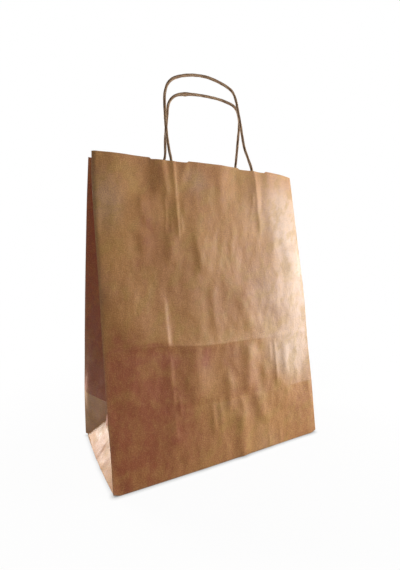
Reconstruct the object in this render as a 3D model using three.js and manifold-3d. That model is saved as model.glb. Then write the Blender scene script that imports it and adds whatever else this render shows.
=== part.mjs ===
// Twisted handle paper bag, in millimetres, +Z up.
// The origin is the centre of the base, where the bag stands, and the front panel faces -Y.
// One kraft sheet is folded and glued into the bag: two wide panels, two side gussets that fold
// inwards, and a block bottom of overlapping flaps. Each wide panel carries a handle of twisted
// paper cord. Both legs of a handle are glued between two paper patches inside the top edge.

import * as THREE from 'three';
import { mergeVertices } from 'three/addons/utils/BufferGeometryUtils.js';
import Module from 'manifold-3d';

// Bag
const bagWidth = 240; // across a wide panel
const bagDepth = 120; // across a gusset laid flat
const panelHeight = 310; // along the paper of a wide panel, base edge to top edge
const mouthWidth = 19; // between the front and back edges at a top corner
const frontBelly = 12; // how far the front panel's top edge bows out of its corners
const backBelly = 4; // the same on the back panel
const bellyFlatness = 4; // power that keeps the bowed panels flat across the middle
const bellyGrowth = 1.5; // power of the bow's growth from the base to the top edge
const creaseBow = 2.5; // how far the upright edges stand out at the transverse crease
const paper = 0.18; // thickness of the kraft sheet, about 120 g a square metre
const flapOverlap = 26; // of the two long base flaps
const foldFlat = 1.2; // width of the rounded centre fold of a gusset

// Notches in the top edge at the left and the right leg: the middle's distance from that leg,
// and the width
const notchSpans = [[-2.5, 39], [0, 36]];
const notchDepth = 1.6;

// Handles and patches
const cordDiameter = 3;
const legSpacing = 98;
const handleOffset = 5; // of both handles' centre from the bag's centre, to the right
const frontLoopLean = 6.9; // degrees that the front loop leans over the mouth
const backLoopLean = 9.1; // the same for the back loop
const patchHeight = 66;
const patchMargin = 36; // patch beyond each leg
const patchDrop = 2.5; // patch below the top edge
const patchBelowLeg = 6.5; // patch below the cut end of a leg
const channelSlope = 1.2; // width of each flank where an inner patch rises over a leg
const clearance = 0.3; // between pieces that are glued face to face

// Handle loops above the top edge. Each row is the leg that it is measured from
// (-1 left, 1 right), the distance across from that leg, and the rise along the loop's lean.
const frontLoop = [
  [-1, -1.6, 10], [-1, -3.2, 29], [-1, -3.6, 49], [-1, -2.1, 70], [-1, 4.4, 82.5],
  [-1, 20.8, 91.6], [-1, 48, 96.3], [1, -23, 91], [1, -17.2, 87], [1, -13.8, 80],
  [1, -11.7, 68.5], [1, -9.2, 50.5], [1, -6.1, 25], [1, -3, 13], [1, -0.5, 3.5],
];
const backLoop = [
  [-1, 5, 8], [-1, 4.6, 29], [-1, 5.4, 52.5], [-1, 6.8, 65], [-1, 13.4, 72.8],
  [-1, 25, 76.6], [-1, 49, 79.3], [1, -23.2, 78.6], [1, -9.2, 74.8], [1, -2.6, 64.6],
  [1, -1.1, 37.5], [1, -0.4, 9],
];

// Worked out from the sizes above
const halfWidth = bagWidth / 2;
const halfDepth = bagDepth / 2;
const halfMouth = mouthWidth / 2;
const topZ = Math.sqrt(panelHeight ** 2 - (halfDepth - halfMouth) ** 2);
const creaseZ = bagDepth; // the flat bag's base lies folded up over the panels to here
const floorZ = 3 * paper; // two flaps and the inner layer
const legLength = patchDrop + patchHeight - patchBelowLeg; // below the top edge
const cordRadius = cordDiameter / 2;
const leftLegX = handleOffset - legSpacing / 2;
const rightLegX = handleOffset + legSpacing / 2;

// The bottom triangle of a gusset tips inwards round its base edge as the panels lean in.
const edgeLean = Math.atan((halfDepth - cornerHalfDepth(creaseZ)) / creaseZ);
const triangleTilt = Math.acos((1 - Math.sin(edgeLean)) / Math.cos(edgeLean));
const apexZ = halfDepth * Math.cos(triangleTilt);

const cordStep = 5.5; // length of a cord's straight facets
const panelColumns = 24;
const levelsAboveCrease = 7;
const levels = [
  apexZ / 3, apexZ * 2 / 3, apexZ, (apexZ + creaseZ) / 2, creaseZ,
  ...Array.from({ length: levelsAboveCrease }, (_, i) =>
    creaseZ + (topZ - creaseZ) * (i + 1) / levelsAboveCrease),
];

const wasm = await Module();
wasm.setup();

// Half the distance between the front and back upright edges at height z
function cornerHalfDepth(z) {
  const straight = halfDepth - (halfDepth - halfMouth) * z / topZ;
  const bow = z < creaseZ ? z / creaseZ : (topZ - z) / (topZ - creaseZ);
  return straight + creaseBow * bow;
}

// Distance of a wide panel's outer face from the bag's middle plane. Side is -1 front, 1 back.
function panelOffset(side, x, z) {
  const belly = side < 0 ? frontBelly : backBelly;
  const across = 1 - (x / halfWidth) ** bellyFlatness;
  return cornerHalfDepth(z) + belly * across * (z / topZ) ** bellyGrowth;
}

// A gusset's centre fold at height z: how far it lies inside the side plane, and half its width.
// Below the apex the fold opens into the triangle that reaches down to the base.
function gussetFold(z) {
  const foldZ = Math.max(z, apexZ);
  const inset = Math.sqrt(halfDepth ** 2 - cornerHalfDepth(foldZ) ** 2);
  const share = Math.min(z / apexZ, 1);
  return [inset * share, halfDepth * (1 - share) + foldFlat / 2 * share];
}

// The bag's outer outline at height z, anticlockwise from the front left corner
function outline(z) {
  const acrossPanel = Array.from({ length: panelColumns + 1 }, (_, i) =>
    halfWidth * Math.sin(Math.PI / 2 * (2 * i / panelColumns - 1)));
  const [inset, flat] = gussetFold(z);
  const foldX = halfWidth - inset;
  return [
    ...acrossPanel.map((x) => [x, -panelOffset(-1, x, z)]),
    [foldX, -flat],
    [foldX, flat],
    ...acrossPanel.reverse().map((x) => [x, panelOffset(1, x, z)]),
    [-foldX, flat],
    [-foldX, -flat],
  ];
}

// A path moved to its left by a distance, with mitred corners
function offsetPath(path, distance, closed) {
  const count = path.length;
  const leftOf = (from, to) => {
    const length = Math.hypot(to[0] - from[0], to[1] - from[1]);
    return [(from[1] - to[1]) / length, (to[0] - from[0]) / length];
  };
  return path.map((point, i) => {
    const before = closed || i > 0 ? leftOf(path.at(i - 1), point) : null;
    const after = closed || i < count - 1 ? leftOf(point, path[(i + 1) % count]) : null;
    const a = before ?? after;
    const b = after ?? before;
    const mitre = distance / (1 + a[0] * b[0] + a[1] * b[1]);
    return [point[0] + (a[0] + b[0]) * mitre, point[1] + (a[1] + b[1]) * mitre];
  });
}

// Collects triangles and leaves out those that a shared corner has closed up
class Skin {
  positions = [];

  triangle(a, b, c, flipped) {
    const closest = 1e-6; // points nearer than this are one point
    const same = (p, q) => p.every((value, i) => Math.abs(value - q[i]) < closest);
    if (same(a, b) || same(b, c) || same(c, a)) return;
    this.positions.push(...a, ...(flipped ? c : b), ...(flipped ? b : c));
  }

  // Faces between two rows of points. The rows run so that the second lies to the left, or to
  // the right if the faces are flipped. Both are split along the same diagonals, so the flipped
  // faces of a wall's other side never cross the wall.
  band(first, second, closed, flipped) {
    const last = closed ? first.length : first.length - 1;
    for (let i = 0; i < last; i += 1) {
      const next = (i + 1) % first.length;
      this.triangle(first[i], first[next], second[next], flipped);
      this.triangle(first[i], second[next], second[i], flipped);
    }
  }

  fan(centre, ring, flipped) {
    ring.forEach((point, i) =>
      this.triangle(centre, point, ring[(i + 1) % ring.length], flipped));
  }

  geometry() {
    const geometry = new THREE.BufferGeometry();
    geometry.setAttribute('position', new THREE.Float32BufferAttribute(this.positions, 3));
    return geometry;
  }
}

function toSolid(geometry) {
  const bare = geometry.clone();
  bare.deleteAttribute('normal');
  bare.deleteAttribute('uv');
  const merged = mergeVertices(bare);
  return new wasm.Manifold(new wasm.Mesh({
    numProp: 3,
    vertProperties: merged.attributes.position.array,
    triVerts: new Uint32Array(merged.index.array),
  }));
}

function toGeometry(solid) {
  const mesh = solid.getMesh();
  const geometry = new THREE.BufferGeometry();
  geometry.setAttribute('position', new THREE.BufferAttribute(mesh.vertProperties, 3));
  geometry.setIndex(new THREE.BufferAttribute(mesh.triVerts, 1));
  geometry.computeVertexNormals();
  return geometry;
}

// A prism over a flat outline of points, from one height to another
function prism(points, bottom, top) {
  const shape = new THREE.Shape(points.map(([x, y]) => new THREE.Vector2(x, y)));
  const geometry = new THREE.ExtrudeGeometry(shape, { depth: top - bottom, bevelEnabled: false });
  return toSolid(geometry.translate(0, 0, bottom));
}

// The folded sheet before its base flaps and notches are cut: skin, inner skin, floor and rim
function foldedSheet() {
  const skin = new Skin();
  const lift = (path, z) => path.map(([x, y]) => [x, y, z]);
  const outer = [0, ...levels].map((z) => lift(outline(z), z));
  const inner = [floorZ, ...levels].map((z) => lift(offsetPath(outline(z), paper, true), z));
  for (let i = 0; i < levels.length; i += 1) {
    skin.band(outer[i], outer[i + 1], true, false);
    skin.band(inner[i], inner[i + 1], true, true);
  }
  skin.band(outer.at(-1), inner.at(-1), true, false);
  skin.fan([0, 0, 0], outer[0], true);
  skin.fan([0, 0, floorZ], inner[0], false);
  return toSolid(skin.geometry());
}

// What the base lacks below its flaps: at each end the layers stop at the gusset's triangle, and
// at the front only the inner long flap is left beside the outer one.
function baseRecesses() {
  const beyond = 5; // the cutting outlines run this far past the base
  const below = -1;
  const lap = flapOverlap / 2;
  const cornerX = halfWidth + beyond;
  const cornerY = halfDepth + beyond;
  const tipX = halfWidth - halfDepth;
  const lapX = tipX - lap;
  const end = (side) => {
    const points = [[side * cornerX, -cornerY], [side * cornerX, cornerY], [side * tipX, 0]];
    return prism(side > 0 ? points : points.reverse(), below, 2 * paper);
  };
  const front = prism([
    [-cornerX, -cornerY], [cornerX, -cornerY], [tipX, 0],
    [lapX, -lap], [-lapX, -lap], [-tipX, 0],
  ], below, paper);
  return [end(-1), end(1), front];
}

// A shallow step cut out of the top edge at each handle leg
function notches() {
  const clearOfFold = halfMouth / 3; // keeps the cut off the gussets
  const beyond = frontBelly + backBelly + halfMouth * 2;
  const cuts = [];
  for (const side of [-1, 1]) {
    [leftLegX, rightLegX].forEach((legX, i) => {
      const [shift, width] = notchSpans[i];
      const cut = new THREE.BoxGeometry(width, beyond, notchDepth * 2);
      cut.translate(legX + shift, side * (clearOfFold + beyond / 2), topZ);
      cuts.push(toSolid(cut));
    });
  }
  return cuts;
}

function bagBody() {
  let body = foldedSheet();
  for (const cut of [...baseRecesses(), ...notches()]) body = body.subtract(cut);
  return toGeometry(body);
}

// Depths inwards from a panel's outer face
const outerPatchFace = paper + clearance;
const cordAxis = outerPatchFace + paper + clearance + cordRadius;
const innerPatchFace = outerPatchFace + paper + clearance;

// Where a point at depth q inside a panel lies
function insidePanel(side, x, z, q) {
  return [x, side * (panelOffset(side, x, z) - q), z];
}

// A patch is a strip of paper that follows its panel. Its section is a path of [x, depth].
function patch(side, section) {
  const rows = 5;
  const patchTop = topZ - patchDrop;
  const skin = new Skin();
  const near = [];
  const far = [];
  for (let i = 0; i < rows; i += 1) {
    const z = patchTop - patchHeight * (1 - i / (rows - 1));
    const toPanel = ([x, q]) => insidePanel(side, x, z, q);
    near.push(section.map(toPanel));
    far.push(offsetPath(section, paper, false).map(toPanel));
  }
  const outwards = side > 0; // the rows run the other way round on the back panel
  const inwards = !outwards;
  for (let i = 0; i < rows - 1; i += 1) {
    skin.band(near[i], near[i + 1], false, outwards);
    skin.band(far[i], far[i + 1], false, inwards);
  }
  skin.band(near.at(-1), far.at(-1), false, outwards);
  skin.band(near[0], far[0], false, inwards);
  skin.band(near.map((row) => row.at(-1)), far.map((row) => row.at(-1)), false, inwards);
  skin.band(near.map((row) => row[0]), far.map((row) => row[0]), false, outwards);
  return toGeometry(toSolid(skin.geometry()));
}

function flatSection(depth) {
  const columns = 12;
  const start = leftLegX - patchMargin;
  const width = legSpacing + 2 * patchMargin;
  return Array.from({ length: columns + 1 }, (_, i) => [start + width * i / columns, depth]);
}

// The inner patch lies on the outer one and rises over each leg in a round channel.
function channelledSection() {
  const channelRadius = cordRadius + clearance;
  const foot = channelRadius + channelSlope;
  const arcSteps = 6;
  const channel = (legX) => [
    [legX - foot, innerPatchFace],
    ...Array.from({ length: arcSteps + 1 }, (_, i) => {
      const angle = Math.PI * i / arcSteps;
      return [legX - channelRadius * Math.cos(angle), cordAxis + channelRadius * Math.sin(angle)];
    }),
    [legX + foot, innerPatchFace],
  ];
  const clearOfChannels = ([x]) =>
    Math.min(Math.abs(x - leftLegX), Math.abs(x - rightLegX)) > 2 * channelRadius;
  return [
    ...flatSection(innerPatchFace).filter(clearOfChannels),
    ...channel(leftLegX),
    ...channel(rightLegX),
  ].sort((a, b) => a[0] - b[0]);
}

// The cord runs up inside the patches, leaves the top edge in line with its panel, and loops over.
function handleCord(side, loop, loopLean) {
  const legPoint = (legX, drop) =>
    new THREE.Vector3(...insidePanel(side, legX, topZ - drop, cordAxis));
  const lean = THREE.MathUtils.degToRad(loopLean);
  const drops = [1, 0.75, 0.5, 0.25, 0.08, 0].map((share) => legLength * share);
  const leg = (legX) => drops.map((drop) => legPoint(legX, drop));
  const above = loop.map(([whichLeg, across, rise]) => {
    const legX = whichLeg < 0 ? leftLegX : rightLegX;
    const towardsMouth = -side * rise * Math.sin(lean);
    return new THREE.Vector3(legX + across, legPoint(legX, 0).y + towardsMouth,
      topZ + rise * Math.cos(lean));
  });
  const route = new THREE.CatmullRomCurve3(
    [...leg(leftLegX), ...above, ...leg(rightLegX).reverse()], false, 'centripetal');
  const sides = 8;
  const section = new THREE.Shape(Array.from({ length: sides }, (_, i) => {
    const angle = 2 * Math.PI * i / sides;
    return new THREE.Vector2(cordRadius * Math.cos(angle), cordRadius * Math.sin(angle));
  }));
  const steps = Math.round(route.getLength() / cordStep);
  return new THREE.ExtrudeGeometry(section, { steps, extrudePath: route });
}

function addPiece(name, geometry, color) {
  const material = new THREE.MeshStandardMaterial({ color, roughness: 0.85, metalness: 0 });
  const mesh = new THREE.Mesh(geometry, material);
  mesh.name = name;
  bag.add(mesh);
}

const kraftBrown = 0xb58a5e;
const patchBrown = 0xc29a70;
const cordBrown = 0x8a6a4c;

const bag = new THREE.Group();
addPiece('bag_body', bagBody(), kraftBrown);
const handles = [
  ['front', -1, frontLoop, frontLoopLean],
  ['back', 1, backLoop, backLoopLean],
];
for (const [name, side, loop, loopLean] of handles) {
  addPiece(`${name}_outer_patch`, patch(side, flatSection(outerPatchFace)), patchBrown);
  addPiece(`${name}_inner_patch`, patch(side, channelledSection()), patchBrown);
  addPiece(`${name}_handle_cord`, handleCord(side, loop, loopLean), cordBrown);
}

export default bag;
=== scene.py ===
import math
import bpy
import numpy as np
from mathutils import Matrix, Vector


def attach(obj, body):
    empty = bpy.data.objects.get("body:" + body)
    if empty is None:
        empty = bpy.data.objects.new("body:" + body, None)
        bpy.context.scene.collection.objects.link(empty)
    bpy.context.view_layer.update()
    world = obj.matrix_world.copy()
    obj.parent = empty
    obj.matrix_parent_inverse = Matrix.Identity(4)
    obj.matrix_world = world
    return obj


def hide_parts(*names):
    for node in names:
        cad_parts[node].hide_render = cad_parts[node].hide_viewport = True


# A plain kraft carrier bag with twisted paper handles. Metres, +Z up, the front panel faces -Y.
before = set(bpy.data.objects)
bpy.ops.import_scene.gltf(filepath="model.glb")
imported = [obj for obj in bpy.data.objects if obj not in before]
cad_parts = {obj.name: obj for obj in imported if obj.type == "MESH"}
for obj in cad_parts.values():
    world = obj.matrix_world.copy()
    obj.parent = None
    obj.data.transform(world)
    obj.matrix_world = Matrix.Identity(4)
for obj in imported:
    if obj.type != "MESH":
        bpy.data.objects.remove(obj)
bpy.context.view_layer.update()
scene = bpy.context.scene
mm = 0.001

# Camera

cameraView = {
    "place": (-0.1897, -0.3519, 0.2086),
    "azimuth": -28.18,  # degrees
    "elevation": 4.68,
    "roll": -0.18,
    "lens": 22.105,  # mm, on a sensor 36 mm high
    "sensor": 36,
}


def addCamera(look):
    azimuth, elevation, roll = (math.radians(look[k]) for k in ("azimuth", "elevation", "roll"))
    back = Vector((math.sin(azimuth) * math.cos(elevation),
                   -math.cos(azimuth) * math.cos(elevation), math.sin(elevation)))
    across = Vector((0, 0, 1)).cross(back).normalized()
    up = back.cross(across)
    turned = Matrix((across * math.cos(roll) + up * math.sin(roll),
                     up * math.cos(roll) - across * math.sin(roll), back))
    data = bpy.data.cameras.new("view")
    data.lens = look["lens"]
    data.sensor_width = data.sensor_height = look["sensor"]
    data.clip_start = 0.01
    camera = bpy.data.objects.new("view", data)
    camera.matrix_world = Matrix.Translation(look["place"]) @ turned.transposed().to_4x4()
    scene.collection.objects.link(camera)
    scene.camera = camera


addCamera(cameraView)
print("camera placed")

# Curves, waves and meshes


def curveThrough(points, at):  # a smooth curve through given (place, value) points
    places, values = np.array(points, float).T
    slopes = np.gradient(values, places)
    i = np.clip(np.searchsorted(places, at) - 1, 0, len(places) - 2)
    gap = places[i + 1] - places[i]
    s = np.clip((at - places[i]) / gap, 0, 1)
    return ((1 + 2 * s) * (1 - s) ** 2 * values[i] + s * (1 - s) ** 2 * gap * slopes[i]
            + s * s * (3 - 2 * s) * values[i + 1] + s * s * (s - 1) * gap * slopes[i + 1])


def smoothStep(low, high, at):
    s = np.clip((at - low) / (high - low), 0, 1)
    return s * s * (3 - 2 * s)


wavesShape = {"count": 14, "shortest": 0.7, "longest": 1.5}  # lengths as shares of the one asked for
fineSteps = 4000


def softWaves(x, z, length, seed):  # gentle undulation of about that wavelength, -1 to 1
    look = wavesShape
    draw = np.random.default_rng(seed)
    total = 0
    for _ in range(look["count"]):
        angle, phase = draw.uniform(0, 2 * math.pi, 2)
        turns = 2 * math.pi / (length * draw.uniform(look["shortest"], look["longest"]))
        total = total + np.cos(turns * (x * math.cos(angle) + z * math.sin(angle)) + phase)
    return total / math.sqrt(2 * look["count"])


def spread(low, high, count, focus=()):  # places from low to high, closer together round each focus
    fine = np.linspace(low, high, fineSteps)
    density = np.ones_like(fine)
    for centre, width, weight in focus:
        density += weight * np.exp(-((fine - centre) / width) ** 2)
    share = np.cumsum(density)
    share = (share - share[0]) / (share[-1] - share[0])
    return np.interp(np.linspace(0, 1, count), share, fine)


def gridFaces(rows, columns, first=0, closed=False, flipped=False):
    i, j = np.meshgrid(np.arange(rows - 1), np.arange(columns if closed else columns - 1), indexing="ij")
    following = (j + 1) % columns
    quad = np.stack([i * columns + j, i * columns + following,
                     (i + 1) * columns + following, (i + 1) * columns + j], -1).reshape(-1, 4) + first
    return (quad[:, ::-1] if flipped else quad).tolist()


def gridNormals(points):  # of a grid whose rows close on themselves
    along = np.roll(points, -1, 1) - np.roll(points, 1, 1)
    normal = np.cross(along, np.gradient(points, axis=0))
    return normal / np.maximum(np.linalg.norm(normal, axis=-1, keepdims=True), 1e-12)


def plateFaces(rows, columns, first=0, flipped=False):  # a closed plate: the near grid, then the far grid
    size = rows * columns
    faces = gridFaces(rows, columns, first, flipped=flipped)
    faces += gridFaces(rows, columns, first + size, flipped=not flipped)
    edges = [(range(columns), True), (range(size - columns, size), False),
             (range(0, size, columns), False), (range(columns - 1, size, columns), True)]
    for edge, turned in edges:
        edge = [first + k for k in edge]
        for a, b in zip(edge, edge[1:]):
            face = [a, b, b + size, a + size]
            faces.append(face[::-1] if turned != flipped else face)
    return faces


def addPiece(name, points, faces, finish, node, facts, sharpAngle=40):
    mesh = bpy.data.meshes.new(name)
    mesh.from_pydata(np.asarray(points, float).reshape(-1, 3).tolist(), [], faces)
    for title, values in facts.items():
        values = np.asarray(values, np.float32)
        vector = values.ndim > 1 and values.shape[-1] == 3
        fact = mesh.attributes.new(title, "FLOAT_VECTOR" if vector else "FLOAT", "POINT")
        fact.data.foreach_set("vector" if vector else "value", values.ravel())
    mesh.polygons.foreach_set("use_smooth", [True] * len(mesh.polygons))
    mesh.set_sharp_from_angle(angle=math.radians(sharpAngle))
    mesh.materials.append(finish)
    piece = bpy.data.objects.new(name, mesh)
    scene.collection.objects.link(piece)
    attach(piece, "root")
    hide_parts(node)
    print(name, "made,", len(mesh.vertices), "points")


# Finishes. A wire is a socket that sums can be written with.


class Wire:
    def __init__(self, finish, socket):
        self.finish, self.socket = finish, socket

    def __add__(self, other):
        return self.finish.sum("ADD", self, other)

    __radd__ = __add__

    def __rsub__(self, other):
        return self.finish.sum("SUBTRACT", other, self)

    def __mul__(self, other):
        return self.finish.sum("MULTIPLY", self, other)

    __rmul__ = __mul__

    def band(self, low, high):  # 0 at low, 1 at high
        return self.finish.node("ShaderNodeMapRange", {"interpolation_type": "SMOOTHSTEP"},
                                {"Value": self, "From Min": low, "From Max": high})


class Finish:
    def __init__(self, owner):  # a material or a world
        owner.use_nodes = True
        self.owner = owner
        self.tree = owner.node_tree
        self.tree.nodes.clear()

    def node(self, kind, settings, inputs, output=0):
        node = self.tree.nodes.new(kind)
        for title, value in settings.items():
            setattr(node, title, value)
        for title, value in inputs.items():
            if isinstance(value, Wire):
                self.tree.links.new(value.socket, node.inputs[title])
            else:
                node.inputs[title].default_value = value
        return Wire(self, node.outputs[output]) if len(node.outputs) else node

    def sum(self, operation, a, b):
        return self.node("ShaderNodeMath", {"operation": operation}, {0: a, 1: b})

    def blend(self, share, a, b):  # of two colours
        return self.node("ShaderNodeMix", {"data_type": "RGBA"}, {0: share, 6: a, 7: b}, 2)

    def coats(self, colour, coats):  # each a share and the colour that it lays over the last
        for share, over in coats:
            colour = self.blend(share, colour, over)
        return colour

    def layer(self, share, a, b):  # of two shaders
        return self.node("ShaderNodeMixShader", {}, {0: share, 1: a, 2: b})

    def noise(self, place, size, detail=2.0, roughness=0.5):  # size of a blotch along each axis, in metres
        scaled = self.node("ShaderNodeVectorMath", {"operation": "DIVIDE"}, {0: place, 1: size})
        return self.node("ShaderNodeTexNoise", {}, {"Vector": scaled, "Scale": 1.0, "Detail": detail,
                                                    "Roughness": roughness})

    def turned(self, place, degrees, shift):
        return self.node("ShaderNodeMapping", {}, {"Vector": place, "Location": (shift, shift, 0),
                                                   "Rotation": (0, 0, math.radians(degrees))})

    def fact(self, title, output=2):  # a value kept on the mesh: output 2 is a number, 1 a vector
        return self.node("ShaderNodeAttribute", {"attribute_name": title}, {}, output)

    def paint(self, colour, roughness, bumps, fixed):  # bumps are (height, metres) pairs, coarse to fine
        inputs = {"Base Color": colour, "Roughness": roughness, **fixed}
        for height, distance in bumps:
            relief = {"Height": height, "Distance": distance}
            if "Normal" in inputs:
                relief["Normal"] = inputs["Normal"]
            inputs["Normal"] = self.node("ShaderNodeBump", {}, relief)
        self.output(self.node("ShaderNodeBsdfPrincipled", {}, inputs))

    def output(self, shader):
        onPiece = isinstance(self.owner, bpy.types.Material)
        kind = "ShaderNodeOutputMaterial" if onPiece else "ShaderNodeOutputWorld"
        self.node(kind, {}, {"Surface": shader})

    def seenPlainly(self):  # 1 for the camera, mirrors and glass
        rays = [self.node("ShaderNodeLightPath", {}, {}, kind) for kind in (0, 3, 6)]
        return rays[0] + rays[1] + rays[2]


def shown(red, green, blue):  # a colour as a screen shows it, 0 to 255
    return tuple(((v / 255 + 0.055) / 1.055) ** 2.4 for v in (red, green, blue)) + (1.0,)


paperLook = {
    "middle": shown(178, 122, 60),
    "warm": shown(166, 106, 52),
    # red is laid both as random tone and as painted shade
    "red": shown(142, 63, 18),
    "olive": shown(166, 126, 50),
    "pale": shown(212, 168, 104),
    # bleached is laid both as random paleness and as painted highlight and sheen
    "bleachedAndSheen": shown(216, 190, 170),
    "dark": shown(116, 70, 36),
    "fold": shown(212, 174, 132),  # rubbed fibres along the folds
    # Blotch sizes along the sheet's two ways, in metres
    "cloud": (0.045, 0.07, 1), "ember": (0.013, 0.019, 1), "moss": (0.012, 0.022, 1),
    "mottle": (0.0042, 0.006, 1), "speck": (0.0010, 0.0011, 1), "dimple": (0.010, 0.016, 1),
    "shive": (0.0005, 0.0026, 1),
    "fibres": [(24, 0.31, (0.00035, 0.0045, 1)), (-31, 0.77, (0.00035, 0.004, 1)),
               (78, 1.3, (0.0004, 0.005, 1))],  # degrees, shift and size; the last are dark
    # How strongly each colour shows
    "bleachedAndSheenShare": 0.8, "oliveShare": 0.5, "redShare": 0.54, "emberShare": 0.66, "calmShare": 0.35,
    "mottlePale": 0.3, "mottleDark": 0.24, "fleckPale": 0.34, "fleckDark": 0.42, "foldShare": 0.32,
    "roughness": 0.44, "mottleRoughness": 0.14, "speckRoughness": 0.06, "shine": 0.6,
    "dimpleHeight": 0.0005, "mottleHeight": 0.00014, "grainHeight": 0.00008,
}


def paperFinish(name, look):
    paper = Finish(bpy.data.materials.new(name))
    flat = paper.fact("flat", 1)
    cloud = paper.noise(flat, look["cloud"], 3, 0.6)
    ember = paper.noise(flat, look["ember"], 3, 0.55)
    moss = paper.noise(paper.turned(flat, 40, 0.9), look["moss"], 3, 0.55)
    mottle = paper.noise(flat, look["mottle"], 4, 0.65)
    speck = paper.noise(flat, look["speck"], 3, 0.7)
    fibreA, fibreB, fibreC = (paper.noise(paper.turned(flat, degrees, shift), size, 2)
                              for degrees, shift, size in look["fibres"])
    shive = paper.noise(paper.turned(flat, 12, 2.1), look["shive"], 1)
    toneShadeAndSheen, worn = paper.fact("toneShadeAndSheen"), paper.fact("worn")
    redderAndShaded = toneShadeAndSheen.band(0.0, 1.0)
    reddest = look["redShare"] + look["emberShare"] * ember.band(0.32, 0.68)
    calm = 1 - look["calmShare"] * redderAndShaded  # red and painted-shade paper has fewer pale flecks
    light = fibreA.band(0.6, 0.78) + fibreB.band(0.6, 0.78) + speck.band(0.5, 0.62)
    deep = fibreC.band(0.6, 0.8) * 0.5 + shive.band(0.7, 0.8) + (1 - speck).band(0.5, 0.62)
    colour = paper.coats(look["warm"], [
        (cloud.band(0.34, 0.66), look["middle"]),
        # Painted highlight and sheen: pale where the tone is negative
        (toneShadeAndSheen.band(0.0, -1.0) * look["bleachedAndSheenShare"], look["bleachedAndSheen"]),
        (moss.band(0.46, 0.64) * look["oliveShare"], look["olive"]),
        # Red where the tone is positive: random red tone and painted shade, with ember flecks
        (redderAndShaded * reddest, look["red"]),
        (mottle.band(0.42, 0.78) * calm * look["mottlePale"], look["pale"]),
        ((1 - mottle).band(0.48, 0.8) * look["mottleDark"], look["dark"]),
        (light * calm * look["fleckPale"], look["pale"]),
        (deep * look["fleckDark"], look["dark"]),
        (worn * (0.45 + 0.9 * speck.band(0.35, 0.7)) * look["foldShare"], look["fold"]),
    ])
    roughness = (look["roughness"] + look["mottleRoughness"] * mottle.band(0.3, 0.7)
                 + look["speckRoughness"] * speck)
    bumps = [
        (paper.noise(flat, look["dimple"], 2, 0.55), look["dimpleHeight"]),
        (mottle, look["mottleHeight"]),
        (speck + 0.5 * fibreA + 0.5 * fibreB, look["grainHeight"]),
    ]
    paper.paint(colour, roughness, bumps, {"Specular IOR Level": look["shine"]})
    return paper.owner


kraft = paperFinish("kraft_paper", paperLook)
patchKraft = paperFinish("patch_paper", {**paperLook, "middle": shown(186, 138, 92), "roughness": 0.6})
print("papers mixed")

# The bag: one folded sheet

bagShape = {
    "width": 0.240, "depth": 0.120, "panelHeight": 0.310, "mouth": 0.019,
    "creaseBow": 0.0025, "crease": 0.120, "paper": 0.00018, "baseRadius": 0.0006, "flapOverlap": 0.026,
    "cornerLift": 0.0021, "cornerReach": 0.007, "cornerRise": 0.008, "blunt": 0.006,  # crushed corners
    "foldColumns": 2, "swellFrom": 0.060, "creasePull": 0.012, "notchPull": 0.010,
    "flapRows": 12, "flapColumns": 25, "flapSettle": 0.002, "insideShift": 0.37,
    "notches": [(-0.0465, 0.039, 0.0016), (0.054, 0.036, 0.0016)],  # middle, width, depth
    "notchSlant": 0.002,
}
halfWidth = bagShape["width"] / 2
halfDepth = bagShape["depth"] / 2
topZ = math.sqrt(bagShape["panelHeight"] ** 2 - (halfDepth - bagShape["mouth"] / 2) ** 2)
creaseZ = bagShape["crease"]
rise = topZ / bagShape["panelHeight"]  # height gained for each metre of sheet

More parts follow.
